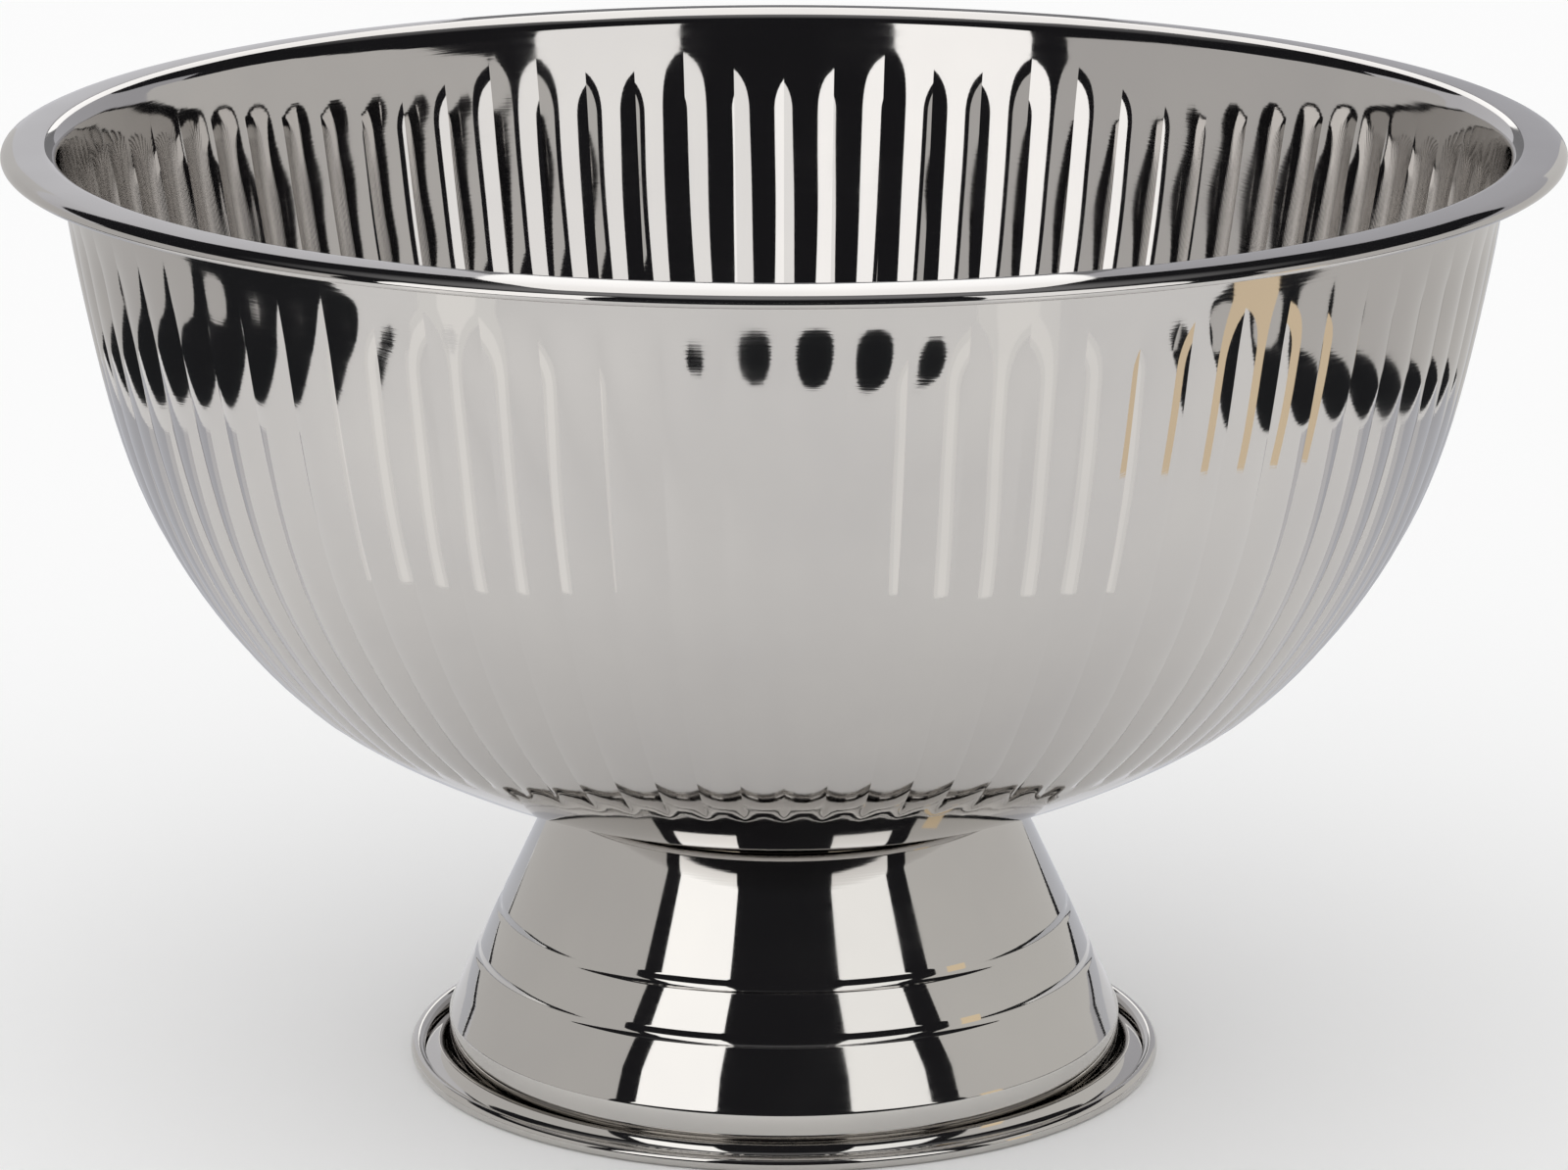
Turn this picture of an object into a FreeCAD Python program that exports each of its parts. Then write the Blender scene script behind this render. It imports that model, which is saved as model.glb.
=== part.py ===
import FreeCAD, Part
import math
import os

# A footed punch bowl in thin stainless sheet: a pressed fluted bowl with a flared, beaded lip,
# a spun conical foot with a rolled bead, and the braze ring that joins the two.
# Millimetres, +Z up, origin on the resting plane under the centre of the foot.

# Overall sizes
RIM_RADIUS = 200.0
TOTAL_HEIGHT = 248.0
SHEET = 0.8

# Flutes: crowns that swell outwards a little, with a sharp crease between each two
FLUTE_COUNT = 80
CROWN_SWELL = 0.2
CREASE_DEPTH = 0.8
FLUTE_TOP_Z = 238.0
FLUTE_FULL_TOP_Z = 220.0
FLUTE_FULL_END_Z = 104.0
FLUTE_END_Z = 98.0

# Lip, on the middle of the sheet: a bend outwards, a nearly flat land that falls away,
# a rounded shoulder, and a bead that rolls down and under
BEND_RADIUS = 4.2
LAND_WIDTH = 5.3
LAND_FALL_DEG = 3.0
SHOULDER_RADIUS = 8.2
SHOULDER_FALL_DEG = 28.5
BEAD_RADIUS = 1.15
BEAD_END_DEG = 210.0
WALL_LEAN = 0.2

# Outside of the bowl's wall, from the flat floor disc up to just under the lip: radius and height
FLOOR_RADIUS = 56.0
FLOOR_Z = 72.0
WALL_STATIONS = [
    (FLOOR_RADIUS, FLOOR_Z),
    (69.0, 75.2),
    (85.0, 81.0),
    (104.0, 89.8),
    (124.0, 102.0),
    (139.0, 116.0),
    (153.0, 134.0),
    (164.8, 155.0),
    (173.0, 178.0),
    (178.6, 202.0),
    (182.6, 224.0),
    (185.0, 238.0),
]

# Foot, from the seat under the bowl down to the bead
SEAT_HOLE_RADIUS = 36.0
BRAZE_THICKNESS = 0.3
BRAZE_OUTER_RADIUS = 58.5
SEAT_Z = FLOOR_Z - BRAZE_THICKNESS
CONE_TOP_RADIUS = 61.0
CONE_SIDE_DEG = 25.2
SHOULDER_FILLET = 2.5
GROOVE_HEIGHTS = [41.2, 28.8]
GROOVE_WIDTH = 3.4
GROOVE_DEPTH = 0.4
GROOVE_FILLET = 2.0
SKIRT_RADIUS = 89.0
SKIRT_FILLET = 3.0
FLANGE_FILLET = 4.2
BEAD_OUTER_RADIUS = 99.4
BEAD_ROLL_RADIUS = 1.9
BEAD_TURN_DEG = 270.0

FLUTE_ANGLE = 2.0 * math.pi / FLUTE_COUNT

# Heights that pin the wall's surface, closest together where the flutes fade
ROW_HEIGHTS = [72.0, 72.05, 72.3, 73.0, 75.0, 79.0, 86.0, 93.0, 96.5, 98.0, 99.5, 101.0, 102.5, 104.0, 108.0]
ROW_HEIGHTS += [116.0, 128.0, 142.0, 160.0, 180.0, 200.0, 211.0, 217.0, 220.0, 223.0, 226.0, 229.0]
ROW_HEIGHTS += [232.0, 235.0, 238.0, 241.0]


def at(radius, height):
    return FreeCAD.Vector(radius, 0.0, height)


def smooth(value):
    value = max(0.0, min(1.0, value))
    return value * value * (3.0 - 2.0 * value)


def flute_share(height):
    """Share of the full flute: whole over most of the wall, fading out under the lip and above the floor."""
    top = smooth((FLUTE_TOP_Z - height) / (FLUTE_TOP_Z - FLUTE_FULL_TOP_Z))
    end = smooth((height - FLUTE_END_Z) / (FLUTE_FULL_END_Z - FLUTE_END_Z))
    return top * end


def spoke(fall_deg):
    """Upward normal of the lip where its top falls away outwards by this angle."""
    return at(math.sin(math.radians(fall_deg)), math.cos(math.radians(fall_deg)))


def lip_arcs():
    """The lip's arcs on the middle of the sheet: centre, radius and fall at both ends."""
    bead = at(RIM_RADIUS - BEAD_RADIUS - SHEET / 2.0, 0.0)
    shoulder = bead + spoke(SHOULDER_FALL_DEG) * (BEAD_RADIUS - SHOULDER_RADIUS)
    land = at(math.cos(math.radians(LAND_FALL_DEG)), -math.sin(math.radians(LAND_FALL_DEG)))
    bend = shoulder + spoke(LAND_FALL_DEG) * (SHOULDER_RADIUS - BEND_RADIUS) - land * LAND_WIDTH
    rise = at(0.0, TOTAL_HEIGHT - SHEET / 2.0 - BEND_RADIUS - bend.z)
    lean = -math.degrees(math.atan2(1.0, WALL_LEAN))
    return [
        (bend + rise, BEND_RADIUS, lean, LAND_FALL_DEG, 6),
        (shoulder + rise, SHOULDER_RADIUS, LAND_FALL_DEG, SHOULDER_FALL_DEG, 4),
        (bead + rise, BEAD_RADIUS, SHOULDER_FALL_DEG, 90.0 + BEAD_END_DEG, 13),
    ]


def parameter_at(curve, height):
    """Where a rising curve reaches the height."""
    low = curve.FirstParameter
    high = curve.LastParameter
    for step in range(50):
        middle = (low + high) / 2.0
        if curve.value(middle).z < height:
            low = middle
        else:
            high = middle
    return high


def lip_rows():
    """Stations over the lip: point on the wall's outer side, normal that way, and no flutes."""
    rows = []
    for centre, radius, first, last, steps in lip_arcs():
        start = 1 if radius == BEAD_RADIUS else 0
        for i in range(start, steps + 1):
            out = spoke(first + (last - first) * i / steps)
            rows.append((centre + out * (radius - SHEET / 2.0), out * -1.0, 0.0))
    return rows


def wall_rows(end):
    """Stations up the outside of the wall to the lip: point, outward normal and flute share."""
    wall = Part.BSplineCurve()
    points = [at(radius, height) for radius, height in WALL_STATIONS] + [end]
    wall.interpolate(points, InitialTangent=at(1.0, 0.0), FinalTangent=at(WALL_LEAN, 1.0))
    rows = []
    for height in ROW_HEIGHTS:
        along = parameter_at(wall, height)
        point = wall.value(along)
        tangent = wall.tangent(along)[0]
        rows.append((point, at(tangent.z, -tangent.x), flute_share(point.z)))
    return rows


def flute_skin(rows, inset, splits):
    """One flute's skin from crease to crease, set in from the outside, cut at the split rows."""
    middles = [point - normal * (SHEET / 2.0) for point, normal, share in rows]
    stations = [0.0]
    for i in range(1, len(rows)):
        stations.append(stations[-1] + (middles[i] - middles[i - 1]).Length)
    strands = []
    for i in range(4):
        across = 2.0 * i / 3.0 - 1.0
        angle = across * FLUTE_ANGLE / 2.0
        points = []
        for point, normal, share in rows:
            place = point + normal * (share * (CROWN_SWELL - CREASE_DEPTH * across * across) - inset)
            points.append(FreeCAD.Vector(place.x * math.cos(angle), place.x * math.sin(angle), place.z))
        strand = Part.BSplineCurve()
        strand.interpolate(points, Parameters=stations)
        strands.append(strand)
    first, second, third, last = [strand.getPoles() for strand in strands]
    left = []
    right = []
    for a, b, c, d in zip(first, second, third, last):
        left.append((b * 18.0 - a * 5.0 - c * 9.0 + d * 2.0) * (1.0 / 6.0))
        right.append((c * 18.0 - d * 5.0 - b * 9.0 + a * 2.0) * (1.0 / 6.0))
    poles = [first, left, right, last]
    mults = strands[0].getMultiplicities()
    knots = strands[0].getKnots()
    cuts = [stations[i] for i in [0] + splits + [len(rows) - 1]]
    surfaces = []
    for low, high in zip(cuts, cuts[1:]):
        surface = Part.BSplineSurface()
        surface.buildFromPolesMultsKnots(poles, [4, 4], mults, [0.0, 1.0], knots, False, False, 3, 3)
        surface.segment(0.0, 1.0, low, high)
        surfaces.append(surface)
    return surfaces


def floor_disc(faces, height):
    """A flat disc bounded by the flutes' lowest edges at this height."""
    edges = []
    for face in faces:
        for edge in face.Edges:
            if max(abs(point.z - height) for point in edge.discretize(5)) < 1e-4:
                edges.append(edge)
    wire = Part.Wire(Part.__sortEdges__(edges))
    return Part.Face(Part.Plane(at(0.0, height), FreeCAD.Vector(0, 0, 1)), wire)


def make_bowl():
    lip = lip_rows()
    wall = wall_rows(lip[0][0])
    faces = []
    ends = []
    for inset in (0.0, SHEET):
        skins = flute_skin(wall + lip, inset, [len(wall)])
        faces.extend([skin.toShape() for skin in skins])
        ends.append(skins[-1].vIso(skins[-1].bounds()[3]).toShape())
    faces.append(Part.makeRuledSurface(ends[0], ends[1]))
    ring = []
    for k in range(FLUTE_COUNT):
        turn = 360.0 * (k + 0.5) / FLUTE_COUNT - 90.0
        for face in faces:
            turned = face.copy()
            turned.rotate(FreeCAD.Vector(0, 0, 0), FreeCAD.Vector(0, 0, 1), turn)
            ring.append(turned)
    discs = [floor_disc(ring, FLOOR_Z), floor_disc(ring, FLOOR_Z + SHEET)]
    shell = Part.makeShell(ring + discs)
    shell.sewShape()
    solid = Part.Solid(shell)
    if solid.Volume < 0.0:
        solid.reverse()
    return solid


def foot_corners():
    """Corners of the foot's outer skin, from the seat hole out to the bead, with fillet radii."""
    slope = math.tan(math.radians(CONE_SIDE_DEG))
    side = at(math.sin(math.radians(CONE_SIDE_DEG)), -math.cos(math.radians(CONE_SIDE_DEG)))
    inward = at(side.z, -side.x)
    corners = [(at(SEAT_HOLE_RADIUS, SEAT_Z), 0.0), (at(CONE_TOP_RADIUS, SEAT_Z), SHOULDER_FILLET)]
    for height in GROOVE_HEIGHTS:
        middle = at(CONE_TOP_RADIUS + slope * (SEAT_Z - height), height)
        corners.append((middle - side * (GROOVE_WIDTH / 2.0), GROOVE_FILLET))
        corners.append((middle + inward * GROOVE_DEPTH, GROOVE_FILLET))
        corners.append((middle + side * (GROOVE_WIDTH / 2.0), GROOVE_FILLET))
    corners.append((at(SKIRT_RADIUS, SEAT_Z - (SKIRT_RADIUS - CONE_TOP_RADIUS) / slope), SKIRT_FILLET))
    corners.append((at(SKIRT_RADIUS, SHEET), FLANGE_FILLET))
    corners.append((at(BEAD_OUTER_RADIUS - BEAD_ROLL_RADIUS, SHEET), 0.0))
    return corners


def inner_corners(corners):
    """The same corners moved to the other side of the sheet, to the right of the path."""
    points = [point for point, fillet in corners]
    moved = []
    for i, (point, fillet) in enumerate(corners):
        before = (point - points[i - 1]).normalize() if i else (points[1] - point).normalize()
        after = (points[i + 1] - point).normalize() if i + 1 < len(points) else before
        right_before = at(before.z, -before.x)
        right_after = at(after.z, -after.x)
        middle = right_before + right_after
        reach = SHEET / middle.dot(right_before)
        turn = before.x * after.z - before.z * after.x
        radius = fillet + SHEET if turn > 0.0 else fillet - SHEET
        moved.append((point + middle * reach, radius if fillet else 0.0))
    return moved


def filleted(corners):
    """Straight edges through the corners, with an arc at each corner that has a fillet."""
    edges = []
    start = corners[0][0]
    for i in range(1, len(corners) - 1):
        point, fillet = corners[i]
        back = (corners[i - 1][0] - point).normalize()
        ahead = (corners[i + 1][0] - point).normalize()
        half = math.acos(max(-1.0, min(1.0, back.dot(ahead)))) / 2.0
        reach = fillet / math.tan(half)
        bisector = (back + ahead).normalize()
        centre = point + bisector * (fillet / math.sin(half))
        first = point + back * reach
        last = point + ahead * reach
        edges.append(Part.makeLine(start, first))
        edges.append(Part.Arc(first, centre - bisector * fillet, last).toShape())
        start = last
    edges.append(Part.makeLine(start, corners[-1][0]))
    return edges


def make_foot():
    outer = foot_corners()
    inner = inner_corners(outer)
    centre = at(BEAD_OUTER_RADIUS - BEAD_ROLL_RADIUS, BEAD_ROLL_RADIUS)
    beads = []
    tips = []
    for radius in (BEAD_ROLL_RADIUS - SHEET, BEAD_ROLL_RADIUS):
        places = []
        for share in (0.0, 0.5, 1.0):
            angle = math.radians(BEAD_TURN_DEG * share - 90.0)
            places.append(centre + at(radius * math.cos(angle), radius * math.sin(angle)))
        beads.append(Part.Arc(*places).toShape())
        tips.append(places[-1])
    edges = filleted(outer) + filleted(inner) + beads
    edges.append(Part.makeLine(tips[0], tips[1]))
    edges.append(Part.makeLine(outer[0][0], inner[0][0]))
    wire = Part.Wire(Part.__sortEdges__(edges))
    return Part.Face(wire).revolve(FreeCAD.Vector(0, 0, 0), FreeCAD.Vector(0, 0, 1), 360.0)


def make_braze_ring():
    outer = Part.makeCylinder(BRAZE_OUTER_RADIUS, BRAZE_THICKNESS, at(0.0, SEAT_Z))
    hole = Part.makeCylinder(SEAT_HOLE_RADIUS + 2.0, BRAZE_THICKNESS, at(0.0, SEAT_Z))
    return outer.cut(hole)


parts = {
    "bowl_shell": make_bowl(),
    "pedestal_foot": make_foot(),
    "braze_ring": make_braze_ring(),
}
os.makedirs("parts", exist_ok=True)
for name, shape in parts.items():
    shape.exportStep("parts/" + name + ".step")
    box = shape.BoundBox
    print(name, shape.isValid(), round(shape.Volume), round(box.ZMin, 3), round(box.ZMax, 3), round(box.XMax, 3))
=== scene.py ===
import math

import bpy
import numpy as np
from mathutils import Euler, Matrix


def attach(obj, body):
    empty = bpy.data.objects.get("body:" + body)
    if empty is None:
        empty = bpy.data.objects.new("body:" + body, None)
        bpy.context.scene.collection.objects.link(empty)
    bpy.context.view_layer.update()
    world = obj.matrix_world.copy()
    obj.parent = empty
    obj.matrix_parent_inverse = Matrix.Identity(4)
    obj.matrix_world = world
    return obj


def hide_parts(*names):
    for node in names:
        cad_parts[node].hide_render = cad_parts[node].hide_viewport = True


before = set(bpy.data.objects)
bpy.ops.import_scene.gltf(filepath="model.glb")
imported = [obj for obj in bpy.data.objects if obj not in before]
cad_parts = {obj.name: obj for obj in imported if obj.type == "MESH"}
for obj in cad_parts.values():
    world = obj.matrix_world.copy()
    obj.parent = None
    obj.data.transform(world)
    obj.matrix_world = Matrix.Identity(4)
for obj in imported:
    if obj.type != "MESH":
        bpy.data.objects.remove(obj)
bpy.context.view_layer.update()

# A footed punch bowl in polished stainless sheet: a fluted bowl with a flared, beaded lip on a spun
# foot. The braze ring between them is the CAD node with a finish of its own.
# The dimensions are those of part.py, in metres, except for the turn of the lip's bead
RIM_RADIUS = 0.200
TOTAL_HEIGHT = 0.248
SHEET = 0.0008

# Flutes: crowns that swell outwards a little, with a sharp crease between each two
FLUTE_COUNT = 80
CROWN_SWELL = 0.0002
CREASE_DEPTH = 0.0008
FLUTE_TOP_Z = 0.238
FLUTE_FULL_TOP_Z = 0.220
FLUTE_FULL_END_Z = 0.104
FLUTE_END_Z = 0.098

# Lip, on the middle of the sheet. The bead closes on itself here; in part.py it stops 90 degrees sooner
BEND_RADIUS = 0.0042
LAND_WIDTH = 0.0053
LAND_FALL = math.radians(3.0)
SHOULDER_RADIUS = 0.0082
SHOULDER_FALL = math.radians(28.5)
LIP_BEAD_RADIUS = 0.00115
LIP_BEAD_TURN = math.radians(300.0)
WALL_LEAN = 0.2

# Outside of the bowl's wall, from the flat floor disc up to just under the lip: radius and height
FLOOR_RADIUS = 0.056
FLOOR_Z = 0.072
WALL_STATIONS = [
    (FLOOR_RADIUS, FLOOR_Z),
    (0.0690, 0.0752),
    (0.0850, 0.0810),
    (0.1040, 0.0898),
    (0.1240, 0.1020),
    (0.1390, 0.1160),
    (0.1530, 0.1340),
    (0.1648, 0.1550),
    (0.1730, 0.1780),
    (0.1786, 0.2020),
    (0.1826, 0.2240),
    (0.1850, 0.2380),
]

# Foot, from the seat under the bowl down to the bead
SEAT_HOLE_RADIUS = 0.036
SEAT_Z = 0.0717
CONE_TOP_RADIUS = 0.061
CONE_SIDE = math.radians(25.2)
SHOULDER_FILLET = 0.0025
GROOVE_HEIGHTS = [0.0412, 0.0288]
GROOVE_WIDTH = 0.0034
GROOVE_DEPTH = 0.0004
GROOVE_FILLET = 0.0020
SKIRT_RADIUS = 0.089
SKIRT_FILLET = 0.0030
FLANGE_FILLET = 0.0042
FOOT_BEAD_REACH = 0.0994
FOOT_BEAD_RADIUS = 0.0019
FOOT_BEAD_TURN = math.radians(270.0)

# Mesh: columns across a flute, rows up the wall between the heights where the flutes change, and rows
# round the lip; then the foot's sectors, columns in each, rows round its bead, and its steps elsewhere
FLUTE_COLUMNS = 6
WALL_ROWS = (14, 7, 22, 13, 3)
BEND_ROWS, SHOULDER_ROWS, LIP_BEAD_ROWS = 11, 6, 21
FOOT_SECTORS, FOOT_COLUMNS, FOOT_BEAD_ROWS = 80, 4, 24
FOOT_STRAIGHT_STEP = 0.004
FOOT_FILLET_STEP_DEG = 7.0

# Steel finishes: tint, and the height of the slow waves in the sheet. Then the spun lines, per metre
# round the piece and along its climb
BOWL_TINT, BOWL_WAVE = (0.556, 0.537, 0.520), 0.00115
FOOT_TINT, FOOT_WAVE = (0.590, 0.572, 0.546), 0.00045
BRAZE_TINT, BRAZE_WAVE = (0.56, 0.50, 0.40), 0.0001
SPUN_AROUND, SPUN_CLIMB = 9.0, 1500.0

# Studio: the edges of the bright table and the planes of the cards that the steel reflects
TABLE_FRONT, TABLE_LEFT, TABLE_RIGHT = -0.542, -0.53, 0.51
ROOM_REACH = 6.0
# Painted shade: the near-black colour of the sheets past the table's edges, which stand in for the unlit room
UNLIT_ROOM_SHADE_COLOUR = (0.018, 0.019, 0.021)
CARD_Y = -0.41
CARD_STEP_DEG = 3.0
PANEL_Z = 0.85
BACKDROP_REACH = 2.9
ON_TABLE_Z, PATCH_Z, ROOM_Z = 0.001, 0.0014, 0.002
PATCH_NEAR, PATCH_FAR = 0.30, 0.60

# Camera: place, downward pitch and lens for a 36 mm wide sensor
CAMERA_PLACE = (0.0, -1.580, 0.543)
CAMERA_PITCH = math.radians(14.75)
CAMERA_LENS = 143.3


# ---------------------------------------------------------------- curves

class Spline:
    """A smooth cubic through points, with the direction given at both ends. It runs by chord length."""

    def __init__(self, points, start, end):
        self.p = np.array(points, float)
        steps = np.linalg.norm(np.diff(self.p, axis=0), axis=1)
        self.t = np.concatenate([[0.0], np.cumsum(steps)])
        count = len(self.p)
        matrix = np.zeros((count, count))
        right = np.zeros((count, 2))
        matrix[0, 0] = matrix[-1, -1] = 1.0
        right[0] = np.array(start) / np.linalg.norm(start)
        right[-1] = np.array(end) / np.linalg.norm(end)
        for i in range(1, count - 1):
            before, after = steps[i - 1], steps[i]
            matrix[i, i - 1] = after
            matrix[i, i] = 2.0 * (before + after)
            matrix[i, i + 1] = before
            chords = after * (self.p[i] - self.p[i - 1]) / before
            chords += before * (self.p[i + 1] - self.p[i]) / after
            right[i] = 3.0 * chords
        self.m = np.linalg.solve(matrix, right)

    def at(self, where):
        """Places and unit directions at these chord lengths."""
        where = np.atleast_1d(np.asarray(where, float))
        k = np.clip(np.searchsorted(self.t, where, side="right") - 1, 0, len(self.t) - 2)
        h = self.t[k + 1] - self.t[k]
        u = ((where - self.t[k]) / h)[:, None]
        h = h[:, None]
        a, b, c, d = self.p[k], self.p[k + 1], self.m[k] * h, self.m[k + 1] * h
        place = (2 * u**3 - 3 * u**2 + 1) * a + (-2 * u**3 + 3 * u**2) * b
        place += (u**3 - 2 * u**2 + u) * c + (u**3 - u**2) * d
        start_weight = 3 * u**2 - 4 * u + 1
        end_weight = 3 * u**2 - 2 * u
        slope = (6 * u**2 - 6 * u) * a + (-6 * u**2 + 6 * u) * b + start_weight * c + end_weight * d
        return place, slope / np.linalg.norm(slope, axis=1)[:, None]

    def reach(self, height):
        """Where the rising curve gets to the height."""
        low, high = 0.0, self.t[-1]
        for _ in range(50):
            middle = (low + high) / 2.0
            if self.at(middle)[0][0, 1] < height:
                low = middle
            else:
                high = middle
        return high


def smooth(value):
    value = np.clip(value, 0.0, 1.0)
    return value * value * (3.0 - 2.0 * value)


# ---------------------------------------------------------------- meshes

def mesh_object(name, verts, faces, normals):
    """A smooth mesh with the normal of each face corner given."""
    mesh = bpy.data.meshes.new(name)
    mesh.from_pydata(verts.tolist(), [], faces)
    mesh.polygons.foreach_set("use_smooth", np.ones(len(mesh.polygons), bool))
    mesh.normals_split_custom_set(normals.tolist())
    mesh.update()
    piece = bpy.data.objects.new(name, mesh)
    bpy.context.scene.collection.objects.link(piece)
    return piece


def turned(points, angles):
    """The points (rows, columns, 3) turned about Z by each angle: (angles, rows, columns, 3)."""
    c, s = np.cos(angles)[:, None, None], np.sin(angles)[:, None, None]
    x, y, z = points[None, ..., 0], points[None, ..., 1], points[None, ..., 2]
    return np.stack([c * x - s * y, s * x + c * y, np.broadcast_to(z, (len(angles),) + z.shape[1:])], -1)


def ring_mesh(name, strips, turns, poles):
    """A closed skin made of strips of rows that repeat round Z.

    Each strip is a grid of places and normals across one turn's sector. Neighbouring strips share
    their border row. Poles close the first and last row at the axis; without them the two are joined."""
    grid = np.concatenate([strips[0][0]] + [places[1:] for places, normals in strips[1:]])
    count, width = grid.shape[0], grid.shape[1] - 1
    around = width * len(turns)
    placed = turned(grid[:, :-1], turns)
    verts = placed.transpose(1, 0, 2, 3).reshape(-1, 3)
    top = (count - 1) * around
    faces = []
    corners = []
    row = 0
    j = np.arange(around)
    k = (j + 1) % around
    for places, normals in strips:
        spun = turned(normals, turns)
        left = spun[:, :, :-1].transpose(1, 0, 2, 3).reshape(len(places), around, 3)
        right = spun[:, :, 1:].transpose(1, 0, 2, 3).reshape(len(places), around, 3)
        for i in range(len(places) - 1):
            low, high = (row + i) * around, (row + i + 1) * around
            faces.append(np.stack([low + j, low + k, high + k, high + j], 1))
            corners.append(np.stack([left[i], right[i], right[i + 1], left[i + 1]], 1).reshape(-1, 3))
        row += len(places) - 1
    quads = np.concatenate(faces).tolist()
    normals = [np.concatenate(corners)]
    if poles:
        first, last = len(verts), len(verts) + 1
        verts = np.vstack([verts, [[0.0, 0.0, grid[0, 0, 2]], [0.0, 0.0, grid[-1, 0, 2]]]])
        quads += np.stack([np.full(around, first), k, j], 1).tolist()
        normals.append(np.tile([0.0, 0.0, -1.0], (3 * around, 1)))
        quads += np.stack([np.full(around, last), top + j, top + k], 1).tolist()
        normals.append(np.tile([0.0, 0.0, 1.0], (3 * around, 1)))
    else:
        quads += np.stack([top + j, top + k, k, j], 1).tolist()
        cap = turned(np.broadcast_to([-1.0, 0.0, 0.0], (1, width + 1, 3)), turns)
        ends = cap[:, 0, :-1].reshape(-1, 3)
        normals.append(np.repeat(ends, 4, axis=0))
    return mesh_object(name, verts, quads, np.concatenate(normals))


# ---------------------------------------------------------------- the bowl

def lip_rows():
    """The lip's mid-line: bend, land, shoulder and bead, as places and outward normals."""
    def spoke(fall):
        return np.stack([np.sin(fall), np.cos(fall)], -1)

    bead = np.array([RIM_RADIUS - LIP_BEAD_RADIUS - SHEET / 2.0, 0.0])
    shoulder = bead + spoke(SHOULDER_FALL) * (LIP_BEAD_RADIUS - SHOULDER_RADIUS)
    land = np.array([math.cos(LAND_FALL), -math.sin(LAND_FALL)])
    bend = shoulder + spoke(LAND_FALL) * (SHOULDER_RADIUS - BEND_RADIUS) - land * LAND_WIDTH
    rise = np.array([0.0, TOTAL_HEIGHT - SHEET / 2.0 - BEND_RADIUS - bend[1]])
    falls = [
        (bend, BEND_RADIUS, np.linspace(-math.atan2(1.0, WALL_LEAN), LAND_FALL, BEND_ROWS)),
        (shoulder, SHOULDER_RADIUS, np.linspace(LAND_FALL, SHOULDER_FALL, SHOULDER_ROWS)),
        (bead, LIP_BEAD_RADIUS, np.linspace(SHOULDER_FALL, math.pi / 2.0 + LIP_BEAD_TURN, LIP_BEAD_ROWS)[1:]),
    ]
    places = [centre + rise + spoke(fall) * radius for centre, radius, fall in falls]
    return np.concatenate(places), np.concatenate([-spoke(fall) for centre, radius, fall in falls])


def bowl_rows():
    """The mid-line of the sheet, floor to sheet end: place, outward normal and share of the full flute."""
    lip_place, lip_out = lip_rows()
    end = lip_place[0] + lip_out[0] * SHEET / 2.0
    wall = Spline(WALL_STATIONS + [tuple(end)], (1.0, 0.0), (WALL_LEAN, 1.0))
    marks = [0.0] + [wall.reach(z) for z in (FLUTE_END_Z, FLUTE_FULL_END_Z, FLUTE_FULL_TOP_Z, FLUTE_TOP_Z)]
    marks.append(wall.t[-1])
    along = [np.linspace(a, b, n, endpoint=False) for a, b, n in zip(marks, marks[1:], WALL_ROWS)]
    place, slope = wall.at(np.concatenate(along))
    out = np.stack([slope[:, 1], -slope[:, 0]], 1)
    height = place[:, 1]
    share = smooth((FLUTE_TOP_Z - height) / (FLUTE_TOP_Z - FLUTE_FULL_TOP_Z))
    share *= smooth((height - FLUTE_END_Z) / (FLUTE_FULL_END_Z - FLUTE_END_Z))
    places = np.concatenate([place - out * SHEET / 2.0, lip_place])
    return places, np.concatenate([out, lip_out]), np.concatenate([share, np.zeros(len(lip_place))])


def bowl_skin(rows, offset, sign):
    """One skin of one flute: places and normals, (rows, columns, 3)."""
    place, out, share = rows
    across = np.linspace(-1.0, 1.0, FLUTE_COLUMNS + 1)[None, :]
    half = math.pi / FLUTE_COUNT
    push = share[:, None] * (CROWN_SWELL - CREASE_DEPTH * across**2) + offset
    radius = place[:, :1] + out[:, :1] * push
    height = place[:, 1:] + out[:, 1:] * push
    along = np.concatenate([[0.0], np.cumsum(np.linalg.norm(np.diff(place, axis=0), axis=1))])
    radius_up = np.gradient(radius, along, axis=0, edge_order=2)
    height_up = np.gradient(height, along, axis=0, edge_order=2)
    radius_across = out[:, :1] * share[:, None] * (-2.0 * CREASE_DEPTH * across)
    height_across = out[:, 1:] * share[:, None] * (-2.0 * CREASE_DEPTH * across)
    c, s = np.cos(across * half), np.sin(across * half)
    up = np.stack([radius_up * c, radius_up * s, height_up], -1)
    side_x = radius_across * c - radius * s * half
    side_y = radius_across * s + radius * c * half
    side = np.stack([side_x, side_y, height_across], -1)
    normal = np.cross(side, up) * sign
    normal /= np.linalg.norm(normal, axis=-1)[..., None]
    return np.stack([radius * c, radius * s, height], -1), normal


def make_bowl():
    rows = bowl_rows()
    outer, outer_normal = bowl_skin(rows, SHEET / 2.0, 1.0)
    inner, inner_normal = bowl_skin(rows, -SHEET / 2.0, -1.0)
    inner, inner_normal = inner[::-1], inner_normal[::-1]
    tip = np.stack([outer[-1], inner[0]])
    around = np.stack([-tip[0, :, 1], tip[0, :, 0], np.zeros(FLUTE_COLUMNS + 1)], -1)
    direction = np.cross(tip[1] - tip[0], around)
    tip_normal = np.broadcast_to(direction / np.linalg.norm(direction, axis=-1)[:, None], tip.shape)
    turns = 2.0 * math.pi * (np.arange(FLUTE_COUNT) + 0.5) / FLUTE_COUNT - math.pi / 2.0
    strips = [(outer, outer_normal), (tip, tip_normal), (inner, inner_normal)]
    return ring_mesh("fluted_bowl", strips, turns, True)


# ---------------------------------------------------------------- the foot

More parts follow.
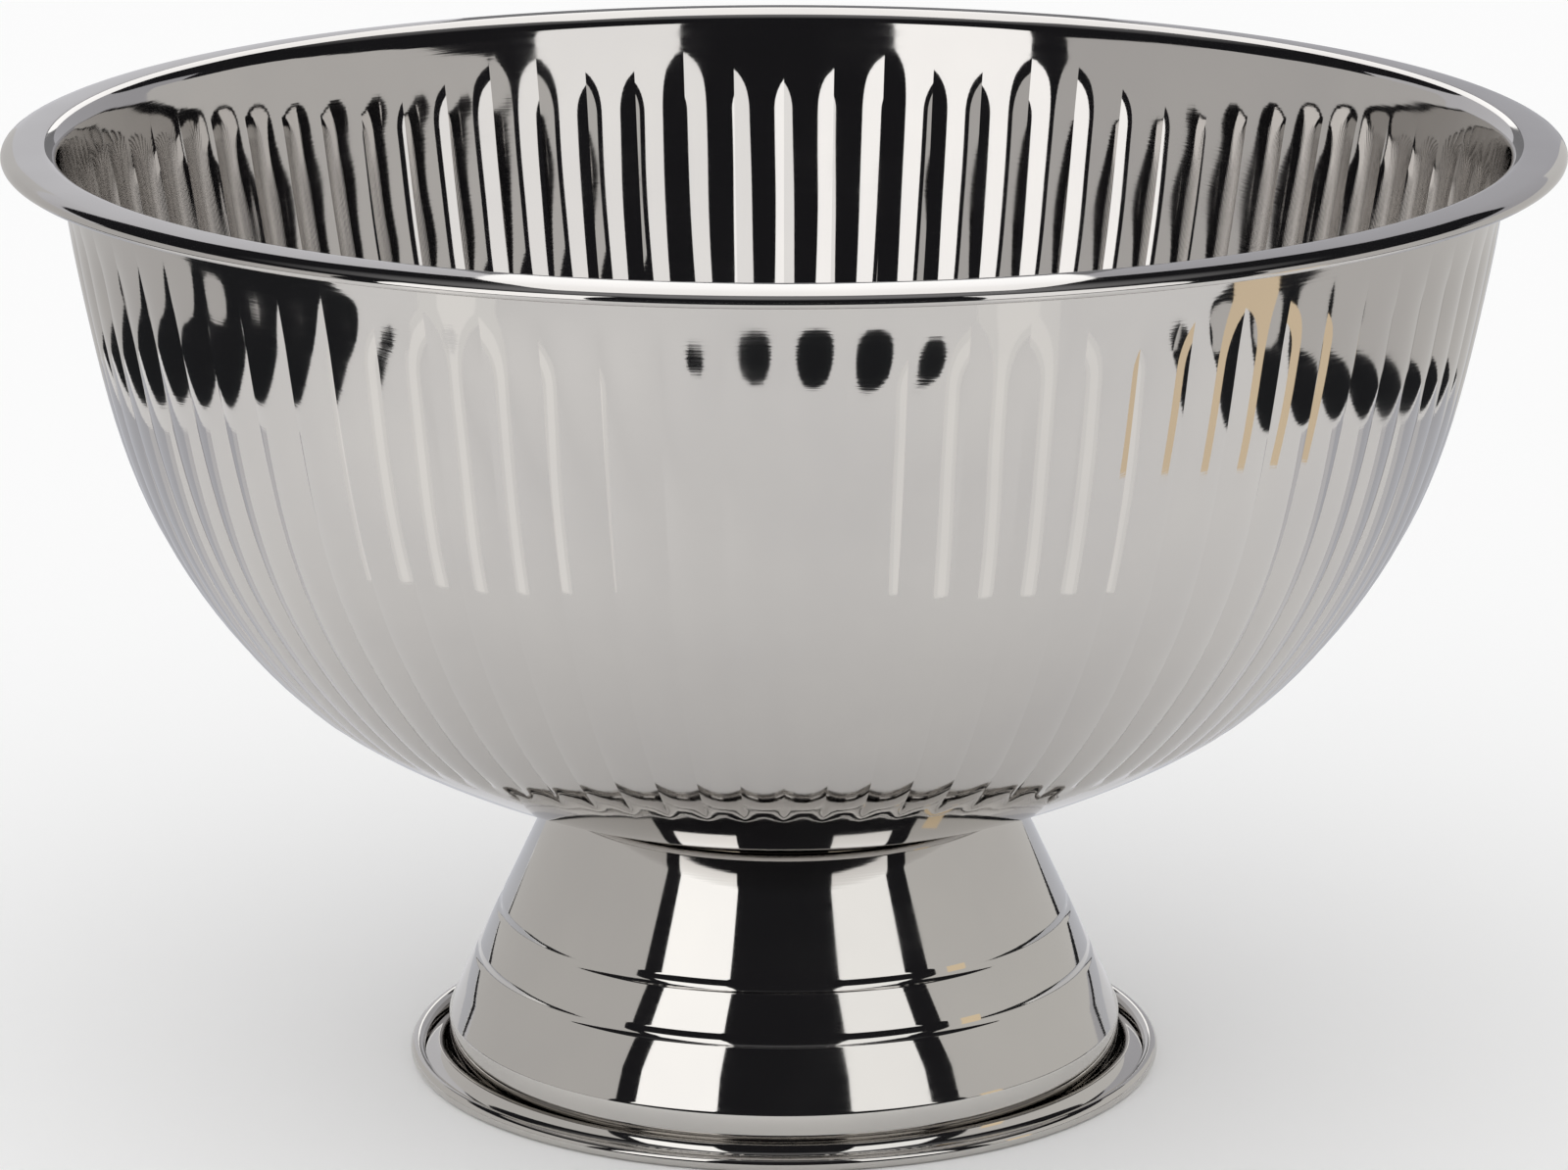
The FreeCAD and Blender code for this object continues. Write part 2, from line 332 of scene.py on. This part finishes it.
def foot_corners():
    """Corners of the foot's outer skin, from the seat hole out to the bead, with fillet radii."""
    slope = math.tan(CONE_SIDE)
    side = np.array([math.sin(CONE_SIDE), -math.cos(CONE_SIDE)])
    inward = np.array([side[1], -side[0]])
    corners = [((SEAT_HOLE_RADIUS, SEAT_Z), 0.0), ((CONE_TOP_RADIUS, SEAT_Z), SHOULDER_FILLET)]
    for height in GROOVE_HEIGHTS:
        middle = np.array([CONE_TOP_RADIUS + slope * (SEAT_Z - height), height])
        corners.append((middle - side * GROOVE_WIDTH / 2.0, GROOVE_FILLET))
        corners.append((middle + inward * GROOVE_DEPTH, GROOVE_FILLET))
        corners.append((middle + side * GROOVE_WIDTH / 2.0, GROOVE_FILLET))
    corners.append(((SKIRT_RADIUS, SEAT_Z - (SKIRT_RADIUS - CONE_TOP_RADIUS) / slope), SKIRT_FILLET))
    corners.append(((SKIRT_RADIUS, SHEET), FLANGE_FILLET))
    corners.append(((FOOT_BEAD_REACH - FOOT_BEAD_RADIUS, SHEET), 0.0))
    return [(np.array(point), fillet) for point, fillet in corners]


def filleted(corners):
    """Steps along straight edges and round each fillet: places and directions.

    From the second corner on, each direction is that of the place one step before."""
    places, slopes = [corners[0][0]], []
    here = corners[0][0]
    for i in range(1, len(corners) - 1):
        point, fillet = corners[i]
        back = corners[i - 1][0] - point
        ahead = corners[i + 1][0] - point
        back, ahead = back / np.linalg.norm(back), ahead / np.linalg.norm(ahead)
        half = math.acos(np.clip(back @ ahead, -1.0, 1.0)) / 2.0
        bisector = (back + ahead) / np.linalg.norm(back + ahead)
        centre = point + bisector * fillet / math.sin(half)
        first, last = point + back * fillet / math.tan(half), point + ahead * fillet / math.tan(half)
        slopes.append(-back)
        run = np.linalg.norm(first - here)
        for share in np.linspace(0.0, 1.0, max(2, int(run / FOOT_STRAIGHT_STEP)))[1:]:
            places.append(here + (first - here) * share)
            slopes.append(-back)
        sweep = math.pi - 2.0 * half
        steps = max(3, int(math.degrees(sweep) / FOOT_FILLET_STEP_DEG))
        spoke = first - centre
        sense = math.copysign(1.0, -back[0] * ahead[1] + back[1] * ahead[0])
        for share in np.linspace(0.0, 1.0, steps + 1)[1:]:
            c, s = math.cos(sweep * share * sense), math.sin(sweep * share * sense)
            places.append(centre + np.array([c * spoke[0] - s * spoke[1], s * spoke[0] + c * spoke[1]]))
            slopes.append(np.array([-c * back[0] + s * back[1], -s * back[0] - c * back[1]]))
        slopes = slopes[: len(places)]
        here = places[-1]
    run = corners[-1][0] - here
    direction = run / np.linalg.norm(run)
    places.append(corners[-1][0])
    slopes.append(direction)
    return np.array(places), np.array(slopes)


def make_foot():
    place, slope = filleted(foot_corners())
    right = np.stack([slope[:, 1], -slope[:, 0]], 1)
    middle = place + right * SHEET / 2.0
    centre = np.array([FOOT_BEAD_REACH - FOOT_BEAD_RADIUS, FOOT_BEAD_RADIUS])
    mid = FOOT_BEAD_RADIUS - SHEET / 2.0
    angle = np.linspace(0.0, FOOT_BEAD_TURN, FOOT_BEAD_ROWS)[1:] - math.pi / 2.0
    spoke = np.stack([np.cos(angle), np.sin(angle)], 1)
    middle = np.vstack([middle, centre + spoke * mid])
    right = np.vstack([right, spoke])
    top = middle - right * SHEET / 2.0
    under = (middle + right * SHEET / 2.0)[::-1]

    def flat(line):
        return np.stack([line[:, 0], np.zeros(len(line)), line[:, 1]], -1)[:, None, :]

    turns = 2.0 * math.pi * np.arange(FOOT_SECTORS) / FOOT_SECTORS
    angles = 2.0 * math.pi / FOOT_SECTORS * np.arange(FOOT_COLUMNS + 1) / FOOT_COLUMNS

    def fan(line):
        return turned(flat(line), angles)[:, :, 0].transpose(1, 0, 2)

    tip = np.stack([top[-1], under[0]])
    tip_normal = np.repeat([[-spoke[-1, 1], spoke[-1, 0]]], 2, axis=0)
    strips = [(fan(top), fan(-right)), (fan(tip), fan(tip_normal)), (fan(under), fan(right[::-1]))]
    flipped = [(places[::-1], normals[::-1]) for places, normals in strips[::-1]]
    return ring_mesh("spun_foot", flipped, turns, False)


# ---------------------------------------------------------------- materials

class Nodes:
    """Builds a node tree: inputs take a value or the socket to link from."""

    def __init__(self, tree):
        self.tree = tree
        tree.nodes.clear()

    def add(self, kind, inputs=(), **settings):
        node = self.tree.nodes.new(kind)
        for key, value in settings.items():
            setattr(node, key, value)
        for key, value in dict(inputs).items():
            if isinstance(value, bpy.types.NodeSocket):
                self.tree.links.new(value, node.inputs[key])
            else:
                node.inputs[key].default_value = value
        return node

    def math(self, operation, a, b):
        return self.add("ShaderNodeMath", {0: a, 1: b}, operation=operation).outputs[0]

    def noise(self, vector, scale, detail, rough):
        inputs = {"Vector": vector, "Scale": scale, "Detail": detail, "Roughness": rough}
        return self.add("ShaderNodeTexNoise", inputs).outputs["Fac"]

    def spread(self, value, low, high, to_low, to_high):
        inputs = {"Value": value, "From Min": low, "From Max": high, "To Min": to_low, "To Max": to_high}
        return self.add("ShaderNodeMapRange", inputs).outputs["Result"]


def steel(name, tint, outward, wave):
    """Polished steel: faint spun lines, slow waves in the sheet, wiping marks and a slightly uneven tint.

    The spun lines run round Z, spaced along the climb: radius times outward, plus height."""
    material = bpy.data.materials.new(name)
    material.use_nodes = True
    n = Nodes(material.node_tree)
    place = n.add("ShaderNodeTexCoord").outputs["Object"]
    parts = n.add("ShaderNodeSeparateXYZ", {0: place})
    flat = n.add("ShaderNodeCombineXYZ", {0: parts.outputs[0], 1: parts.outputs[1], 2: 0.0}).outputs[0]
    radius = n.add("ShaderNodeVectorMath", {0: flat}, operation="LENGTH").outputs["Value"]
    climb = n.math("ADD", n.math("MULTIPLY", radius, outward), parts.outputs[2])
    lines = n.add("ShaderNodeCombineXYZ", {
        0: n.math("MULTIPLY", parts.outputs[0], SPUN_AROUND),
        1: n.math("MULTIPLY", parts.outputs[1], SPUN_AROUND),
        2: n.math("MULTIPLY", climb, SPUN_CLIMB),
    }).outputs[0]
    spun = n.noise(lines, 1.0, 2.0, 0.6)
    slow = n.noise(place, 16.0, 1.0, 0.4)
    smear = n.noise(place, 34.0, 4.0, 0.62)
    patch = n.spread(smear, 0.48, 0.72, 0.0, 1.0)
    rough = n.math("ADD", n.spread(spun, 0.3, 0.7, 0.028, 0.050), n.math("MULTIPLY", patch, 0.035))
    shade = n.spread(n.noise(place, 21.0, 3.0, 0.6), 0.3, 0.7, 0.0, 1.0)
    dull = (tint[0] * 0.97, tint[1] * 0.97, tint[2] * 0.975, 1.0)
    clean = (tint[0] * 1.02, tint[1] * 1.02, tint[2] * 1.015, 1.0)
    colour = n.add("ShaderNodeMix", {0: shade, 6: dull, 7: clean}, data_type="RGBA").outputs[2]
    bump = n.add("ShaderNodeBump", {"Height": slow, "Strength": 1.0, "Distance": wave})
    fine = n.add("ShaderNodeBump", {
        "Height": spun,
        "Strength": 0.12,
        "Distance": 0.00002,
        "Normal": bump.outputs[0],
    })
    shader = n.add("ShaderNodeBsdfPrincipled", {
        "Base Color": colour,
        "Metallic": 1.0,
        "Roughness": rough,
        "Normal": fine.outputs[0],
    })
    n.add("ShaderNodeOutputMaterial", {0: shader.outputs[0]})
    return material


def glow(name, colour):
    """An even light of this colour, for the studio's cards."""
    material = bpy.data.materials.new(name)
    material.use_nodes = True
    n = Nodes(material.node_tree)
    light = n.add("ShaderNodeEmission", {"Color": (*colour, 1.0), "Strength": 1.0})
    n.add("ShaderNodeOutputMaterial", {0: light.outputs[0]})
    return material


# ---------------------------------------------------------------- studio

def card(name, verts, faces, colour):
    """A glowing sheet that only reflections see."""
    mesh = bpy.data.meshes.new(name)
    mesh.from_pydata(verts, [], faces)
    mesh.materials.append(glow(name, colour))
    piece = bpy.data.objects.new(name, mesh)
    bpy.context.scene.collection.objects.link(piece)
    piece.visible_camera = False
    piece.visible_diffuse = False
    piece.visible_shadow = False
    piece.visible_transmission = False
    piece.visible_volume_scatter = False
    return piece


def upright_card(name, left, right, low, high, colour):
    """A flat card that stands in front of the bowl and also lights the table."""
    corners = [(left, CARD_Y, low), (right, CARD_Y, low), (right, CARD_Y, high), (left, CARD_Y, high)]
    card(name, corners, [(0, 1, 2, 3)], colour).visible_diffuse = True


def level_card(name, left, right, front, back, height, colour):
    corners = [(left, front, height), (right, front, height), (right, back, height), (left, back, height)]
    card(name, corners, [(0, 1, 2, 3)], colour)


def curved_card(name, start, end, distance, low, high, colour):
    """An upright strip round the bowl; angles in degrees from the front, to the right."""
    steps = max(2, int(abs(end - start) / CARD_STEP_DEG) + 1)
    verts = []
    for angle in np.radians(np.linspace(start, end, steps)):
        for z in (low, high):
            verts.append((distance * math.sin(angle), -distance * math.cos(angle), z))
    faces = [(2 * i, 2 * i + 2, 2 * i + 3, 2 * i + 1) for i in range(steps - 1)]
    card(name, verts, faces, colour)


def painted_light_patch(name, start, end, height, colour):
    """Painted light: a glowing patch on the table that only reflections see, standing in for a pool of light
    on it, between two angles in degrees from the front, to the right.
    """
    corners = []
    for angle, radius in ((start, PATCH_NEAR), (end, PATCH_NEAR), (end, PATCH_FAR), (start, PATCH_FAR)):
        turn = math.radians(angle)
        corners.append((radius * math.sin(turn), -radius * math.cos(turn), height))
    card(name, corners, [(0, 1, 2, 3)], colour)


def make_floor():
    """A wide pale disc."""
    radius = 7.0
    count = 96
    angles = [2 * math.pi * i / count for i in range(count)]
    ring = [(radius * math.cos(angle), radius * math.sin(angle), 0.0) for angle in angles]
    mesh = bpy.data.meshes.new("floor")
    mesh.from_pydata(ring, [], [tuple(range(count))])
    floor = bpy.data.objects.new("floor", mesh)
    bpy.context.scene.collection.objects.link(floor)
    paper = bpy.data.materials.new("paper")
    paper.use_nodes = True
    n = Nodes(paper.node_tree)
    shader = n.add("ShaderNodeBsdfDiffuse", {"Color": (0.93, 0.93, 0.93, 1.0)})
    n.add("ShaderNodeOutputMaterial", {0: shader.outputs[0]})
    mesh.materials.append(paper)


def make_cards():
    """What the polished steel reflects: two bright cards, walls, a panel overhead, the table with painted
    pools of light and painted shade on it, and the room, whose unlit floor is painted shade.
    """
    upright_card("card_left", -0.47, -0.16, 0.14, 0.50, (1.6, 1.6, 1.6))
    upright_card("card_right", 0.16, 0.47, 0.14, 0.50, (1.3, 1.3, 1.3))
    level_card("panel", -0.19, 0.19, 0.05, 2.60, PANEL_Z, (1.5, 1.5, 1.5))
    curved_card("wall_left", -56.0, -150.0, 0.62, 0.02, 0.44, (0.62, 0.61, 0.60))
    curved_card("wall_right", 58.0, 145.0, 0.54, 0.03, 0.38, (0.68, 0.67, 0.655))
    curved_card("backdrop", 175.0, 185.0, BACKDROP_REACH, ON_TABLE_Z, 1.20, (0.22, 0.22, 0.23))
    curved_card("backdrop_left", -120.0, -175.0, BACKDROP_REACH, ON_TABLE_Z, 1.60, (0.66, 0.66, 0.69))
    curved_card("backdrop_right", 120.0, 175.0, BACKDROP_REACH, ON_TABLE_Z, 1.60, (0.48, 0.48, 0.51))
    curved_card("beige_card", 62.0, 70.0, 0.44, ON_TABLE_Z, 0.10, (0.95, 0.78, 0.55))
    # Painted light: glowing patches laid on the table, seen only in reflections, stand in for pools of light
    # on it
    painted_light_patch("patch_left", -52.0, -40.0, ON_TABLE_Z, (1.04, 1.04, 1.03))
    painted_light_patch("patch_left_bright", -49.0, -43.0, PATCH_Z, (1.16, 1.155, 1.14))
    painted_light_patch("patch_right", 26.0, 38.0, ON_TABLE_Z, (1.03, 1.03, 1.02))
    painted_light_patch("patch_right_bright", 29.0, 35.0, PATCH_Z, (1.12, 1.115, 1.10))
    # Painted shade: grey sheets laid on the table behind the bowl, seen only in reflections, stand in for the
    # shade there
    level_card("shade_near", -0.5, 0.5, 0.06, 0.14, ON_TABLE_Z, (0.72, 0.72, 0.74))
    level_card("shade_far", -0.5, 0.5, 0.14, ROOM_REACH, ON_TABLE_Z, (0.57, 0.58, 0.62))
    # Painted shade: near-black sheets laid on the floor past the table's edges, seen only in reflections,
    # stand in for the unlit room
    level_card("dark_front", -ROOM_REACH, ROOM_REACH, -ROOM_REACH, TABLE_FRONT, ROOM_Z, UNLIT_ROOM_SHADE_COLOUR)
    level_card("dark_left", -ROOM_REACH, TABLE_LEFT, TABLE_FRONT, ROOM_REACH, ROOM_Z, UNLIT_ROOM_SHADE_COLOUR)
    level_card("dark_right", TABLE_RIGHT, ROOM_REACH, TABLE_FRONT, ROOM_REACH, ROOM_Z, UNLIT_ROOM_SHADE_COLOUR)


def make_world():
    """White to the camera, soft white light on dull surfaces, and a dark room in reflections."""
    world = bpy.data.worlds.new("studio")
    bpy.context.scene.world = world
    world.use_nodes = True
    n = Nodes(world.node_tree)
    path = n.add("ShaderNodeLightPath")
    direction = n.add("ShaderNodeTexCoord").outputs["Generated"]
    up = n.add("ShaderNodeSeparateXYZ", {0: direction}).outputs[2]
    dim = n.spread(up, 0.72, 1.0, 0.014, 0.300)
    cool = n.spread(up, 0.72, 1.0, 0.016, 0.310)
    dark = n.add("ShaderNodeCombineColor", {0: dim, 1: dim, 2: cool}).outputs[0]
    soft = (1.04, 1.04, 1.04, 1.0)
    white = (1.0, 1.0, 1.0, 1.0)
    glossy = path.outputs["Is Glossy Ray"]
    direct = path.outputs["Is Camera Ray"]
    lit = n.add("ShaderNodeMix", {0: glossy, 6: soft, 7: dark}, data_type="RGBA").outputs[2]
    seen = n.add("ShaderNodeMix", {0: direct, 6: lit, 7: white}, data_type="RGBA").outputs[2]
    back = n.add("ShaderNodeBackground", {"Color": seen, "Strength": 1.0})
    n.add("ShaderNodeOutputWorld", {0: back.outputs[0]})


def make_camera():
    data = bpy.data.cameras.new("camera")
    data.sensor_width = 36.0
    data.lens = CAMERA_LENS
    data.clip_start = 0.05
    data.clip_end = 50.0
    camera = bpy.data.objects.new("camera", data)
    camera.location = CAMERA_PLACE
    camera.rotation_euler = Euler((math.radians(90.0) - CAMERA_PITCH, 0.0, 0.0))
    bpy.context.scene.collection.objects.link(camera)
    bpy.context.scene.camera = camera


# ---------------------------------------------------------------- build

bowl = make_bowl()
bowl.data.materials.append(steel("bowl_steel", BOWL_TINT, 1.0, BOWL_WAVE))
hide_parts("bowl_shell")
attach(bowl, "root")

foot = make_foot()
foot.data.materials.append(steel("foot_steel", FOOT_TINT, -1.0, FOOT_WAVE))
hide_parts("pedestal_foot")
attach(foot, "root")

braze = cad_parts["braze_ring"]
braze.data.materials.clear()
braze.data.materials.append(steel("braze", BRAZE_TINT, 1.0, BRAZE_WAVE))

make_floor()
make_cards()
make_world()
make_camera()
bpy.context.scene.view_settings.view_transform = "Standard"
